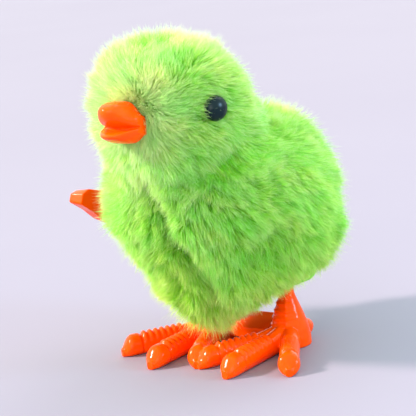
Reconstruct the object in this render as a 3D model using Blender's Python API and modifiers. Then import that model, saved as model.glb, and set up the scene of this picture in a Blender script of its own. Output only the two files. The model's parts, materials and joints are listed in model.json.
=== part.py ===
"""A wind-up hopping chick: a plush cover over a clockwork case, with a winding key and two kicking feet.

Metres, +Z up. The chick faces -Y and its left side is +X. Every shaft lies along X.
Lengths below are written in millimetres and turned into metres by mm() where a mesh is made.
"""

import math

import bmesh
import bpy
from mathutils import Matrix, Vector

MM = 0.001

# The chick's own middle plane and leg axis lie here, so that the whole part's box is centred on the origin.
BODY_SHIFT = (4.70, 6.20, 0.0)

# Plush outline: centre and radii of the rounded masses that blend into the body.
HEAD = ((0, -17.0, 50.6), (15.4, 14.6, 13.4))
NECK = ((0, -11.5, 43.0), (15.4, 14.5, 11.0))
BODY = ((0, -1.0, 28.5), (22.0, 21.5, 17.5))
RUMP = ((0, 8.5, 32.3), (17.0, 13.5, 13.0))
BREAST = ((0, -14.5, 29.5), (18.5, 13.0, 14.0))
BELLY = ((0, -7.0, 20.5), (15.0, 13.5, 14.0))
SEAT = ((0, 6.0, 23.5), (17.0, 15.0, 11.5))
BLEND_SHARPNESS = 0.55
PLUSH_MIDDLE = Vector((0, -7.0, 35.0))
STUFFING_MIDDLE = Vector((0, -3.0, 28.0))
SEARCH_REACH = 60.0
SEARCH_STEPS = 40

COVER_WALL = 3.5
STUFFING_GAP = 0.8
HEAD_STUFFING = ((0, -15.6, 51.4), (8.0, 8.0, 7.6))
BODY_OPENING = ((0, 2.0), (13.1, 11.2), 18.5)
OPENING_GAP = 0.35

# How much wider and taller the stuffing's opening is than the cover's, and the slot round the case
STUFFING_OPENING_GROWTH = (1.2, 2.2)
CASE_SLOT_GAP = 0.9

# How far a cutter runs past what it cuts
CUTTER_RUN = 6.0

# Face
BEAK_PLACE = (0, -30.6, 50.2)
BEAK_RADII = (4.8, 3.8, 3.7)
BEAK_PROUD = 1.2
BEAK_POST = (1.3, 5.0)
BEAK_POCKET = (5.3, 2.9)
BEAK_HOLE_LENGTH = 18.0
BEAK_WASHER_RADIUS = 3.2
EYE_MIDDLE = (0, -17.0, 51.0)
EYE_AZIMUTH = 72
EYE_REACH = 14.3
EYE_RADII = (2.5, 2.5, 1.6)
EYE_POST = (0.8, 3.5)
EYE_POCKET = (2.9, 1.9)
EYE_HOLE_LENGTH = 16.0
EYE_WASHER_RADIUS = 2.1
POCKET_RUN = 8.0
POST_HOLE_GAP = 0.35
POST_ROOT = 1.0
WASHER_WALL = 0.7
WASHER_PLACE = 2.1

# Clockwork: places in the Y-Z plane of the four shafts
WINDING = (-5.0, 27.5)
SECOND = (7.0, 27.5)
CAM = (7.0, 19.5)
FEET = (1.0, 15.8)
WINDING_RADIUS = 1.2
SECOND_RADIUS = 0.7
CAM_RADIUS = 0.7
FEET_RADIUS = 1.0
RUNNING_GAP = 0.10
SEAT_GAP = 0.12

# Where each shaft and each piece on it starts and ends along X
WINDING_SHAFT_X = (-27.2, 6.9)
SPRING_CORE_X = (-5.2, 0.6)
GREAT_GEAR_X = (1.0, 2.8)
ARBOR_X = (-6.4, 6.4)
SECOND_PINION_X = (0.8, 3.1)
SECOND_GEAR_X = (3.5, 4.8)
CAM_PINION_X = (3.3, 5.0)
HOP_CAM_X = (-3.5, -1.5)
FOOT_AXLE_X = (-10.9, 10.9)
FOOT_LEVER_X = (-3.5, -1.5)
SPRING_POST_X = (-5.3, 0.4)

# Gears: module and tooth counts
GREAT_MODULE = 0.6
GREAT_TEETH = 30
SECOND_PINION_TEETH = 10
THIRD_MODULE = 0.5
SECOND_TEETH = 24
CAM_PINION_TEETH = 8
PRESSURE_ANGLE = math.radians(20)
ADDENDUM = 0.65
DEDENDUM = 1.25
BACKLASH_SHARE = 0.14
FLANK_STEPS = 1

# Case
CASE_HALF_WIDTH = 6.5
CASE_WALL = 0.9
CASE_PARTING = 0.15
SLOT_ROOM = 1.7
CASE_SPACE = ((WINDING, 10.1), (SECOND, 7.0), (CAM, 4.5), (FEET, 2.4))
SCREW_PLACES = ((-12.8, 17.9), (13.0, 34.3), (-13.2, 36.3))
SCREW_LUG = 1.9
SCREW_SHANK = (0.7, 10.5)
SCREW_HEAD = (1.35, 0.9)
SCREW_HOLE_GAP = 0.15
SCREW_STANDOFF = 0.3

# Hop cam, its lever and the springs
CAM_LOW = 2.3
CAM_HIGH = 3.8
CAM_LOBES = 2
CAM_LEAD = 0.6
CAM_RISE_POWER = 1.5
CAM_STEPS = 36
LEVER_HUB = 1.8
LEVER_ARM = ((-0.7, 1.4, -0.8), (0.9, 4.5, 0.8))
SPRING_CORE_RADIUS = 2.1
SPRING_TURNS = 4
SPRING_STEPS = 14
SPRING_INNER = 2.6
SPRING_OUTER = 6.8
SPRING_WIDTH = 5.0
SPRING_MIDDLE_X = -2.4
SPRING_STRIP = 0.3
SPRING_POST = (-13.1, 27.5)
SPRING_POST_RADIUS = 0.6
COIL_RADIUS = 1.75
COIL_WIRE = 0.16
COIL_TURNS = 4
COIL_STEPS = 12
COIL_X = (-0.7, 1.3)
COIL_ARMS = (2.6, -1.2)

# Eyelet round the key's shaft
EYELET_X = (-22.8, -18.0)
EYELET_OUTER = 2.9
EYELET_INNER = 1.6
SHAFT_CHANNEL = 5.2
SHAFT_CHANNEL_X = (-22.0, -6.0)

# Key
KEY_X = (-31.5, -27.6)
KEY_HUB = (3.6, 3.4, 4.4)
KEY_WING_REACH = 8.4
KEY_WING_TIP = 1.8
KEY_TILT = math.radians(27)
KEY_SOFTENING = 0.7
KEY_HUB_OVERLAP = 0.4
KEY_SEAT_X = (-27.4, -15.4)

# Feet
FOOT_X = 8.9
SHANK_PROFILE = (
    (0, 2.5),
    (1.9, 2.2),
    (1.95, -2.0),
    (1.5, -4.0),
    (1.45, -5.3),
    (2.2, -7.4),
    (3.0, -9.8),
    (3.6, -12.2),
    (4.0, -14.6),
    (4.0, -16.3),
    (0, -16.3),
)

# Toes: azimuth outwards from straight ahead in degrees, reach and width. The last one is the rear toe.
FOOT_TOES = ((24.5, 21.0, 1.95), (0, 22.4, 2.0), (-35.5, 20.4, 2.0), (180, 7.2, 1.9))
TOE_HEIGHT = 1.6
TOE_ROOT = 1.3
TOE_ROOT_WIDTH = 0.7

# Sections of a toe as shares of its reach and of its width
TOE_SECTIONS = ((0.05, 0.9), (0.30, 0.88), (0.62, 0.9), (0.80, 1.02), (0.92, 0.85), (0.98, 0.45))

# The web that joins the heels: front, back, bottom and top
FOOT_BRIDGE = (-1.2, 5.6, 1.0, 3.7)

# Ring that holds the edge of the cover's opening: height, thickness and the radii of its window
BASE_RING = (13.3, 1.2)
BASE_WINDOW = (11.5, 9.5)

FLOOR_CUTTER = ((-40, -40, -8), (40, 40, 0))

ALONG_X = (math.pi / 2, 0, math.pi / 2)
ROUND = 16

ORANGE = ((0.93, 0.16, 0.01, 1), 0.28, 0.0)
LIME = ((0.42, 0.80, 0.14, 1), 0.9, 0.0)
WHITE_FIBRE = ((0.85, 0.85, 0.82, 1), 0.95, 0.0)
BLACK = ((0.01, 0.015, 0.02, 1), 0.08, 0.0)
IVORY = ((0.80, 0.78, 0.70, 1), 0.45, 0.0)
GREY_PLASTIC = ((0.35, 0.36, 0.38, 1), 0.5, 0.0)
GREEN_PLASTIC = ((0.12, 0.42, 0.03, 1), 0.5, 0.0)
STEEL = ((0.62, 0.62, 0.64, 1), 0.3, 1.0)
BRASS = ((0.80, 0.60, 0.25, 1), 0.3, 1.0)


def mm(*values):
    return Vector(values) * MM


def clear_scene():
    for obj in list(bpy.data.objects):
        bpy.data.objects.remove(obj, do_unlink=True)


def new_collection(name, hidden=False):
    collection = bpy.data.collections.new(name)
    collection.hide_render = hidden
    bpy.context.scene.collection.children.link(collection)
    return collection


def plain_material(name, look):
    color, roughness, metallic = look
    material = bpy.data.materials.new(name)
    material.use_nodes = True
    shader = material.node_tree.nodes["Principled BSDF"]
    shader.inputs["Base Color"].default_value = color
    shader.inputs["Roughness"].default_value = roughness
    shader.inputs["Metallic"].default_value = metallic
    return material


def new_axis(name, x, yz):
    """An empty on a shaft's axis, which the pieces of that moving body hang from."""
    axis = bpy.data.objects.new(name, None)
    PARTS.objects.link(axis)
    axis.location = mm(x, *yz)
    if name != "toy":
        axis.parent = TOY
    return axis


def place(obj, x, yz, parent=None, turn=(0, 0, 0)):
    """Puts an object at a place in the toy's own frame, under the empty of its moving body."""
    parent = parent or TOY
    start = Vector((0, 0, 0)) if parent is TOY else parent.location
    obj.parent = parent
    obj.location = mm(x, *yz) - start
    obj.rotation_euler = turn
    return obj


def add_part(name, mesh, look):
    obj = bpy.data.objects.new(name, mesh)
    PARTS.objects.link(obj)
    mesh.materials.clear()
    mesh.materials.append(plain_material(name, look))
    mesh.shade_smooth()
    mesh.set_sharp_from_angle(angle=math.radians(35))
    return obj


def add_cutter(name, mesh):
    obj = bpy.data.objects.new(name, mesh)
    CUTTERS.objects.link(obj)
    obj.hide_render = True
    obj.display_type = "WIRE"
    return obj


def boolean(obj, other, operation="DIFFERENCE"):
    modifier = obj.modifiers.new(operation.lower(), "BOOLEAN")
    modifier.operation = operation
    modifier.solver = "EXACT"
    modifier.object = other


def mesh_from(name, fill):
    """A mesh made by a function that fills a bmesh with primitives."""
    mesh = bpy.data.meshes.new(name)
    grid = bmesh.new()
    fill(grid)
    bmesh.ops.recalc_face_normals(grid, faces=grid.faces)
    grid.to_mesh(mesh)
    grid.free()
    return mesh


def cylinder_mesh(name, radius, length, segments=ROUND):
    """A cylinder along local Z with its middle at the origin."""

    def fill(grid):
        wide = radius * MM
        bmesh.ops.create_cone(
            grid, cap_ends=True, segments=segments, radius1=wide, radius2=wide, depth=length * MM
        )

    return mesh_from(name, fill)


def box_mesh(name, low, high):
    middle = (Vector(low) + Vector(high)) / 2 * MM
    size = (Vector(high) - Vector(low)) * MM

    def fill(grid):
        matrix = Matrix.Translation(middle) @ Matrix.Diagonal((*size, 1))
        bmesh.ops.create_cube(grid, size=1, matrix=matrix)

    return mesh_from(name, fill)


def ellipsoid_mesh(name, radii, detail=(20, 12)):
    def fill(grid):
        matrix = Matrix.Diagonal((*(Vector(radii) * MM), 1))
        bmesh.ops.create_uvsphere(grid, u_segments=detail[0], v_segments=detail[1], radius=1, matrix=matrix)

    return mesh_from(name, fill)


def mesh_of_curve(curve):
    """The curve's evaluated mesh with its caps joined to its sides."""
    guide = bpy.data.objects.new(curve.name, curve)
    bpy.context.scene.collection.objects.link(guide)
    graph = bpy.context.evaluated_depsgraph_get()
    mesh = bpy.data.meshes.new_from_object(guide.evaluated_get(graph))
    bpy.data.objects.remove(guide, do_unlink=True)
    grid = bmesh.new()
    grid.from_mesh(mesh)
    bmesh.ops.remove_doubles(grid, verts=grid.verts, dist=1e-7)
    bmesh.ops.recalc_face_normals(grid, faces=grid.faces)
    grid.to_mesh(mesh)
    grid.free()
    return mesh


def flat_mesh(name, outlines, thickness):
    """Flat outlines in local X-Y, the first one outside and the others holes, with a thickness along Z."""
    curve = bpy.data.curves.new(name, "CURVE")
    curve.dimensions = "2D"
    curve.fill_mode = "BOTH"
    curve.extrude = thickness / 2 * MM
    for outline in outlines:
        spline = curve.splines.new("POLY")
        spline.points.add(len(outline) - 1)
        spline.use_cyclic_u = True
        for point, (u, v) in zip(spline.points, outline):
            point.co = (u * MM, v * MM, 0, 1)
    return mesh_of_curve(curve)


def circle_outline(radius, middle=(0, 0), segments=ROUND):
    turns = [2 * math.pi * i / segments for i in range(segments)]
    return [(middle[0] + radius * math.cos(t), middle[1] + radius * math.sin(t)) for t in turns]


def hull_outline(discs, segments=20):
    """The tight outline around discs, each (centre, radius), anticlockwise."""
    points = sorted(p for middle, radius in discs for p in circle_outline(radius, middle, segments))

    def half(ordered):
        chain = []
        for p in ordered:
            while len(chain) > 1 and turns_right(chain[-2], chain[-1], p):
                chain.pop()
            chain.append(p)
        return chain[:-1]

    return half(points) + half(points[::-1])


def turns_right(a, b, c):
    return (b[0] - a[0]) * (c[1] - a[1]) - (b[1] - a[1]) * (c[0] - a[0]) <= 1e-9


# Plush cover and stuffing


def blend_distance(point, masses):
    """Below zero inside the masses, joined with a soft fillet where they meet."""
    distances = []
    for middle, radii in masses:
        scaled = Vector([(point[i] - middle[i]) / radii[i] for i in range(3)])
        distances.append((scaled.length - 1) * min(radii))
    nearest = min(distances)
    total = sum(math.exp(BLEND_SHARPNESS * (nearest - d)) for d in distances)
    return nearest - math.log(total) / BLEND_SHARPNESS


def surface_point(middle, direction, masses, inset):
    near = 0.0
    far = SEARCH_REACH
    for _ in range(SEARCH_STEPS):
        reach = (near + far) / 2
        if blend_distance(middle + direction * reach, masses) < -inset:
            near = reach
        else:
            far = reach
    return middle + direction * near


def blended_mesh(name, middle, masses, inset, detail):
    """A ball pushed out along its rays until it meets the blended masses."""

    def fill(grid):
        bmesh.ops.create_uvsphere(grid, u_segments=detail[0], v_segments=detail[1], radius=1)
        for vertex in grid.verts:
            vertex.co = surface_point(middle, vertex.co.normalized(), masses, inset) * MM

    return mesh_from(name, fill)


def make_cover():
    masses = (HEAD, NECK, BODY, RUMP, BREAST, BELLY, SEAT)
    mesh = blended_mesh("plush_cover", PLUSH_MIDDLE, masses, 0.0, (26, 18))
    cover = place(add_part("plush_cover", mesh, LIME), 0, (0, 0))
    shell = cover.modifiers.new("wall", "SOLIDIFY")
    shell.thickness = COVER_WALL * MM
    shell.offset = -1
    boolean(cover, opening_cutter("cover_opening", 0.0, top=BODY_OPENING[2]))
    boolean(cover, key_cutter())
    for cutter in beak_cutters():
        boolean(cover, cutter)
    for side in (1, -1):
        for cutter in eye_cutters(side):
            boolean(cover, cutter)
    return cover


def opening_cutter(name, growth, top):
    """An oval column that opens the underside, grown sideways from the cover's own opening."""
    (x, y), (wide, deep), _ = BODY_OPENING
    length = top + CUTTER_RUN
    cutter = add_cutter(name, cylinder_mesh(name, 1.0, length, 32))
    for vertex in cutter.data.vertices:
        vertex.co.x *= wide + growth
        vertex.co.y *= deep + growth
    return place(cutter, x, (y, top - length / 2))


def key_cutter():
    low, high = EYELET_X
    length = high - low + CUTTER_RUN
    hole = add_cutter("key_hole", cylinder_mesh("key_hole", EYELET_OUTER + OPENING_GAP, length))
    return place(hole, (low + high) / 2, WINDING, turn=(0, math.pi / 2, 0))


def post_cutter(name, radius, pocket, length, matrix):
    """A pocket in the pile for the piece itself, with a post hole through the wall behind it."""
    pocket_radius, pocket_depth = pocket
    hole = add_cutter(name + "_hole", cylinder_mesh(name + "_hole", radius + POST_HOLE_GAP, length))
    depth = 2 * pocket_depth + POCKET_RUN
    well = add_cutter(name + "_pocket", cylinder_mesh(name + "_pocket", pocket_radius, depth))
    for cutter, shift in ((hole, 0.0), (well, POCKET_RUN / 2)):
        cutter.parent = TOY
        cutter.matrix_local = matrix @ Matrix.Translation(mm(0, 0, shift))
    return hole, well


def facing(azimuth, place_mm):
    """A frame whose +Z looks out level, at an azimuth from straight ahead towards the left side."""
    out = Vector((math.sin(math.radians(azimuth)), -math.cos(math.radians(azimuth)), 0))
    turn = out.to_track_quat("Z", "Y").to_matrix().to_4x4()
    return Matrix.Translation(mm(*place_mm)) @ turn


def eye_frame(side):
    angle = math.radians(EYE_AZIMUTH)
    x, y, z = EYE_MIDDLE
    spot = (x + side * EYE_REACH * math.sin(angle), y - EYE_REACH * math.cos(angle), z)
    return facing(side * EYE_AZIMUTH, spot)


def eye_cutters(side):
    name = "eye_left" if side > 0 else "eye_right"
    return post_cutter(name, EYE_POST[0], EYE_POCKET, EYE_HOLE_LENGTH, eye_frame(side))


def beak_cutters():
    return post_cutter("beak", BEAK_POST[0], BEAK_POCKET, BEAK_HOLE_LENGTH, facing(0, BEAK_PLACE))


def make_stuffing():
    middle, radii = HEAD_STUFFING
    head = add_part("head_stuffing", ellipsoid_mesh("head_stuffing", radii), WHITE_FIBRE)
    place(head, middle[0], middle[1:])
    masses = (BODY, RUMP, BREAST, BELLY, SEAT)
    inset = COVER_WALL + STUFFING_GAP
    mesh = blended_mesh("body_stuffing", STUFFING_MIDDLE, masses, inset, (18, 12))
    body = place(add_part("body_stuffing", mesh, WHITE_FIBRE), 0, (0, 0))
    outline = hull_outline(case_discs(CASE_WALL + CASE_SLOT_GAP))
    slot = add_cutter("case_slot", flat_mesh("case_slot", [outline], 2 * (CASE_HALF_WIDTH + SLOT_ROOM)))
    place(slot, 0, (0, 0), turn=ALONG_X)
    boolean(body, slot)
    wider, taller = STUFFING_OPENING_GROWTH
    boolean(body, opening_cutter("stuffing_opening", wider, top=BODY_OPENING[2] + taller))
    low, high = SHAFT_CHANNEL_X
    shaft = add_cutter("shaft_channel", cylinder_mesh("shaft_channel", SHAFT_CHANNEL, high - low))
    place(shaft, (low + high) / 2, WINDING, turn=(0, math.pi / 2, 0))
    boolean(body, shaft)


# Face


def fixed_to(frame, obj, shift):
    """Hangs an object from the toy at a distance out along a frame's own Z."""
    obj.parent = TOY
    obj.matrix_local = frame @ Matrix.Translation(mm(0, 0, shift))


def make_studded(name, radii, look, frame, proud, post):
    """A moulded face piece with a post behind it, and the steel washer that holds the post."""
    piece = add_part(name, ellipsoid_mesh(name, radii), look)
    fixed_to(frame, piece, proud)
    radius, length = post
    stud = add_cutter(name + "_post", cylinder_mesh(name + "_post", radius, length))
    fixed_to(frame, stud, proud - radii[2] - length / 2 + POST_ROOT)
    boolean(piece, stud, "UNION")
    return proud - radii[2]


def make_washer(name, outer, post_radius, frame, shift):
    washer = add_part(name, ring_mesh(name, outer, post_radius + SEAT_GAP, WASHER_WALL), STEEL)
    fixed_to(frame, washer, shift)


def make_beak():
    frame = facing(0, BEAK_PLACE)
    back = make_studded("beak", BEAK_RADII, ORANGE, frame, BEAK_PROUD, BEAK_POST)
    make_washer("beak_washer", BEAK_WASHER_RADIUS, BEAK_POST[0], frame, back - WASHER_PLACE)


def make_eye(side):
    name = "left" if side > 0 else "right"
    frame = eye_frame(side)
    back = make_studded("eye_" + name, EYE_RADII, BLACK, frame, 0.0, EYE_POST)
    make_washer("eye_washer_" + name, EYE_WASHER_RADIUS, EYE_POST[0], frame, back - WASHER_PLACE)


def ring_mesh(name, outer, inner, thickness):
    return flat_mesh(name, [circle_outline(outer), circle_outline(inner)], thickness)


# Clockwork


def tooth_outline(module, teeth, first_angle):
    """A gear outline with involute flanks: first_angle is the middle of one tooth."""
    pitch = module * teeth / 2
    base = pitch * math.cos(PRESSURE_ANGLE)
    tip = pitch + ADDENDUM * module
    root = pitch - DEDENDUM * module
    start = max(base, root)
    half_pitch = math.pi / (2 * teeth) * (1 - BACKLASH_SHARE)
    half_base = half_pitch + math.tan(PRESSURE_ANGLE) - PRESSURE_ANGLE
    flank = []
    for i in range(FLANK_STEPS + 1):
        radius = start + (tip - start) * i / FLANK_STEPS
        along = math.acos(min(1.0, base / radius))
        flank.append((radius, half_base - (math.tan(along) - along)))
    outline = []
    for tooth in range(teeth):
        middle = first_angle + 2 * math.pi * tooth / teeth
        side = [(root, half_base)] + flank
        for radius, half in side:
            outline.append((radius * math.cos(middle - half), radius * math.sin(middle - half)))
        for radius, half in reversed(side):
            outline.append((radius * math.cos(middle + half), radius * math.sin(middle + half)))
    return outline


def make_gear(name, body, yz, x, module, teeth, first_angle, bore, look=IVORY):
    """A gear whose thickness runs from x[0] to x[1]."""
    outline = tooth_outline(module, teeth, first_angle)
    mesh = flat_mesh(name, [outline, circle_outline(bore)], x[1] - x[0])
    place(add_part(name, mesh, look), (x[0] + x[1]) / 2, yz, body, ALONG_X)


def make_shaft(name, body, yz, x, radius):
    mesh = cylinder_mesh(name, radius, x[1] - x[0])
    place(add_part(name, mesh, STEEL), (x[0] + x[1]) / 2, yz, body, ALONG_X)


def make_ring(name, body, yz, x, outer, inner, look):
    mesh = ring_mesh(name, outer, inner, x[1] - x[0])
    return place(add_part(name, mesh, look), (x[0] + x[1]) / 2, yz, body, ALONG_X)


def make_winding():
    body = new_axis("winding_axis", 0, WINDING)
    bore = WINDING_RADIUS + SEAT_GAP
    make_shaft("winding_shaft", body, WINDING, WINDING_SHAFT_X, WINDING_RADIUS)
    make_gear("great_gear", body, WINDING, GREAT_GEAR_X, GREAT_MODULE, GREAT_TEETH, 0.0, bore)
    make_ring("spring_core", body, WINDING, SPRING_CORE_X, SPRING_CORE_RADIUS, bore, BRASS)
    make_key(body)


def make_key(body):
    """A two-wing key: a hub with a blind seat for the shaft and a tapered wing on either side."""
    low, high = KEY_X
    hub_radius, boss_radius, hub_length = KEY_HUB
    reach = KEY_WING_REACH
    discs = ((-reach, 0), KEY_WING_TIP), ((0, 0), hub_radius), ((reach, 0), KEY_WING_TIP)
    key = add_part("winding_key", flat_mesh("winding_key", [hull_outline(discs, 24)], high - low), ORANGE)
    place(key, (low + high) / 2, WINDING, body, (math.pi / 2, KEY_TILT, math.pi / 2))
    soften = key.modifiers.new("soft_edges", "BEVEL")
    soften.width = KEY_SOFTENING * MM
    soften.segments = 2
    soften.limit_method = "ANGLE"
    soften.angle_limit = math.radians(40)
    hub = add_cutter("key_hub", cylinder_mesh("key_hub", boss_radius, hub_length))
    place(hub, high + hub_length / 2 - KEY_HUB_OVERLAP, WINDING, body, (0, math.pi / 2, 0))
    start, end = KEY_SEAT_X
    seat = add_cutter("key_seat", cylinder_mesh("key_seat", WINDING_RADIUS + SEAT_GAP, end - start))
    place(seat, (start + end) / 2, WINDING, body, ALONG_X)
    boolean(key, hub, "UNION")
    boolean(key, seat)


def make_second():
    body = new_axis("second_axis", 0, SECOND)
    bore = SECOND_RADIUS + SEAT_GAP
    make_shaft("second_arbor", body, SECOND, ARBOR_X, SECOND_RADIUS)
    teeth = SECOND_PINION_TEETH
    half_tooth = math.pi / teeth
    make_gear("second_pinion", body, SECOND, SECOND_PINION_X, GREAT_MODULE, teeth, half_tooth, bore, BRASS)
    make_gear("second_gear", body, SECOND, SECOND_GEAR_X, THIRD_MODULE, SECOND_TEETH, 0.0, bore)


def make_cam():
    body = new_axis("cam_axis", 0, CAM)
    bore = CAM_RADIUS + SEAT_GAP
    make_shaft("cam_shaft", body, CAM, ARBOR_X, CAM_RADIUS)
    teeth = CAM_PINION_TEETH
    half_tooth = math.pi / teeth
    make_gear("cam_pinion", body, CAM, CAM_PINION_X, THIRD_MODULE, teeth, half_tooth, bore, BRASS)
    low, high = HOP_CAM_X
    mesh = flat_mesh("hop_cam", [cam_outline(), circle_outline(bore)], high - low)
    place(add_part("hop_cam", mesh, IVORY), (low + high) / 2, CAM, body, ALONG_X)


def cam_outline():
    """A two-lobed cam: the radius rises slowly and drops off at each lobe."""
    points = []
    for i in range(CAM_STEPS):
        turn = 2 * math.pi * i / CAM_STEPS
        rise = (CAM_LOBES * turn / (2 * math.pi)) % 1.0
        radius = CAM_LOW + (CAM_HIGH - CAM_LOW) * rise**CAM_RISE_POWER
        points.append((radius * math.cos(turn + CAM_LEAD), radius * math.sin(turn + CAM_LEAD)))
    return points


def case_discs(grow):
    lugs = tuple((spot, SCREW_LUG - CASE_WALL) for spot in SCREW_PLACES)
    return tuple((middle, radius + grow) for middle, radius in CASE_SPACE + lugs)


def make_case_half(side):
    name = "case_left" if side > 0 else "case_right"
    deep = CASE_HALF_WIDTH - CASE_PARTING
    middle = side * (CASE_PARTING + deep / 2)
    mesh = flat_mesh(name, [hull_outline(case_discs(CASE_WALL))], deep)
    case = place(add_part(name, mesh, GREY_PLASTIC), middle, (0, 0), turn=ALONG_X)
    space = add_cutter(name + "_space", flat_mesh(name + "_space", [hull_outline(CASE_SPACE)], deep))
    place(space, middle - side * CASE_WALL, (0, 0), turn=ALONG_X)
    boolean(case, space)
    shafts = ((WINDING, WINDING_RADIUS), (SECOND, SECOND_RADIUS), (CAM, CAM_RADIUS), (FEET, FEET_RADIUS))
    holes = [(yz, radius + RUNNING_GAP) for yz, radius in shafts]
    holes += [(yz, SCREW_SHANK[0] + SCREW_HOLE_GAP) for yz in SCREW_PLACES]
    for index, (yz, radius) in enumerate(holes):
        hole_name = f"{name}_bore_{index}"
        bore = add_cutter(hole_name, cylinder_mesh(hole_name, radius, 2 * deep))
        boolean(case, place(bore, middle, yz, turn=ALONG_X))


def make_case_screw(index, yz):
    radius, length = SCREW_SHANK
    head_radius, head_height = SCREW_HEAD
    name = f"case_screw_{index}"
    profile = (
        (0, head_height),
        (head_radius * 0.8, head_height),
        (head_radius, head_height * 0.6),
        (head_radius, 0),
        (radius, 0),
        (radius, -length + radius),
        (0, -length),
    )
    screw = add_part(name, turned_mesh(name, profile), STEEL)
    place(screw, CASE_HALF_WIDTH + SCREW_STANDOFF, yz, turn=ALONG_X)


def turned_mesh(name, profile, segments=ROUND):
    """A solid of revolution about local Z from (radius, height) points that run down the outer side."""
    mesh = bpy.data.meshes.new(name)
    points = [mm(radius, 0, height) for radius, height in profile]
    mesh.from_pydata(points, [(i, i + 1) for i in range(len(points) - 1)], [])
    helper = bpy.data.objects.new(name, mesh)
    bpy.context.scene.collection.objects.link(helper)
    screw = helper.modifiers.new("turn", "SCREW")
    screw.axis = "Z"
    screw.steps = segments
    screw.render_steps = segments
    screw.use_merge_vertices = True
    screw.merge_threshold = 1e-6
    graph = bpy.context.evaluated_depsgraph_get()
    turned = bpy.data.meshes.new_from_object(helper.evaluated_get(graph))
    bpy.data.objects.remove(helper, do_unlink=True)
    return turned


def make_mainspring():
    """A wound steel strip: a flat spiral extruded along X."""
    steps = SPRING_STEPS * SPRING_TURNS
    curve = bpy.data.curves.new("mainspring", "CURVE")
    curve.dimensions = "2D"
    curve.fill_mode = "NONE"
    curve.extrude = SPRING_WIDTH / 2 * MM
    spline = curve.splines.new("POLY")
    spline.points.add(steps)
    for i, point in enumerate(spline.points):
        turn = 2 * math.pi * SPRING_TURNS * i / steps + math.pi
        radius = SPRING_INNER + (SPRING_OUTER - SPRING_INNER) * i / steps
        point.co = (radius * math.cos(turn) * MM, radius * math.sin(turn) * MM, 0, 1)
    spring = add_part("mainspring", mesh_of_curve(curve), STEEL)
    strip = spring.modifiers.new("strip", "SOLIDIFY")
    strip.thickness = SPRING_STRIP * MM
    strip.offset = 0
    place(spring, SPRING_MIDDLE_X, WINDING, turn=ALONG_X)


def make_foot_spring():
    """A torsion spring round the feet's axle, with two straight arms."""
    steps = COIL_STEPS * COIL_TURNS
    low, high = COIL_X
    points = [(-COIL_RADIUS, COIL_ARMS[0], 0.0)]
    for i in range(steps + 1):
        turn = math.pi + 2 * math.pi * COIL_TURNS * i / steps
        along = (high - low) * i / steps
        points.append((COIL_RADIUS * math.cos(turn), COIL_RADIUS * math.sin(turn), along))
    points.append((-COIL_RADIUS, COIL_ARMS[1], high - low))
    curve = bpy.data.curves.new("foot_spring", "CURVE")
    curve.dimensions = "3D"
    curve.bevel_depth = COIL_WIRE * MM
    curve.bevel_resolution = 1
    curve.use_fill_caps = True
    spline = curve.splines.new("POLY")
    spline.points.add(len(points) - 1)
    for point, co in zip(spline.points, points):
        point.co = (*mm(*co), 1)
    spring = add_part("foot_spring", mesh_of_curve(curve), STEEL)
    place(spring, low, FEET, turn=ALONG_X)


# Feet


def make_feet():
    body = new_axis("feet_axis", 0, FEET)
    make_shaft("foot_axle", body, FEET, FOOT_AXLE_X, FEET_RADIUS)
    low, high = FOOT_LEVER_X
    hub = make_ring("foot_lever", body, FEET, FOOT_LEVER_X, LEVER_HUB, FEET_RADIUS + SEAT_GAP, IVORY)
    arm = add_cutter("lever_arm", box_mesh("lever_arm", *LEVER_ARM))
    place(arm, (low + high) / 2, FEET, body, ALONG_X)
    boolean(hub, arm, "UNION")
    make_foot_pair(body)


def make_foot_pair(body):
    """Both feet and the web between their heels are one moulding."""
    front, back, bottom, top = FOOT_BRIDGE
    low = (-FOOT_X, front - FEET[0], bottom - FEET[1])
    high = (FOOT_X, back - FEET[0], top - FEET[1])
    pair = place(add_part("foot_pair", box_mesh("foot_pair", low, high), ORANGE), 0, FEET, body)
    for side in (1, -1):
        shank = add_cutter(f"shank_{side}", turned_mesh(f"shank_{side}", SHANK_PROFILE, ROUND))
        boolean(pair, place(shank, side * FOOT_X, FEET, body), "UNION")
        for index, (azimuth, reach, width) in enumerate(FOOT_TOES):
            toe = toe_solid(f"toe_{side}_{index}", reach, width)
            toe.parent = body
            toe.location = mm(side * FOOT_X, FEET[0], TOE_HEIGHT) - body.location
            toe.rotation_euler = (0, 0, math.radians(-side * azimuth))
            boolean(pair, toe, "UNION")
    floor = add_cutter("foot_floor", box_mesh("foot_floor", *FLOOR_CUTTER))
    boolean(pair, place(floor, 0, (0, 0), body))
    length = 2 * FOOT_X + CUTTER_RUN
    bore = add_cutter("foot_bore", cylinder_mesh("foot_bore", FEET_RADIUS + SEAT_GAP, length))
    boolean(pair, place(bore, 0, FEET, body, ALONG_X))


def toe_solid(name, reach, width):
    """A round toe along -Y that swells towards a bulbous nail."""
    profile = [(0, reach)]
    profile += [(width * share, reach * along) for along, share in reversed(TOE_SECTIONS)]
    profile += [(width * TOE_ROOT_WIDTH, -TOE_ROOT), (0, -TOE_ROOT)]
    toe = add_cutter(name, turned_mesh(name, profile, 10))
    for vertex in toe.data.vertices:
        x, y, z = vertex.co
        vertex.co = (x, -z, y)
    return toe


def make_base_ring():
    height, thickness = BASE_RING
    (x, y), (wide, deep), _ = BODY_OPENING
    outlines = []
    for across, along in ((wide - OPENING_GAP, deep - OPENING_GAP), BASE_WINDOW):
        outlines.append([(u * across, y + v * along) for u, v in circle_outline(1.0, segments=40)])
    ring = add_part("base_ring", flat_mesh("base_ring", outlines, thickness), GREEN_PLASTIC)
    place(ring, x, (0, height))


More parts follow.
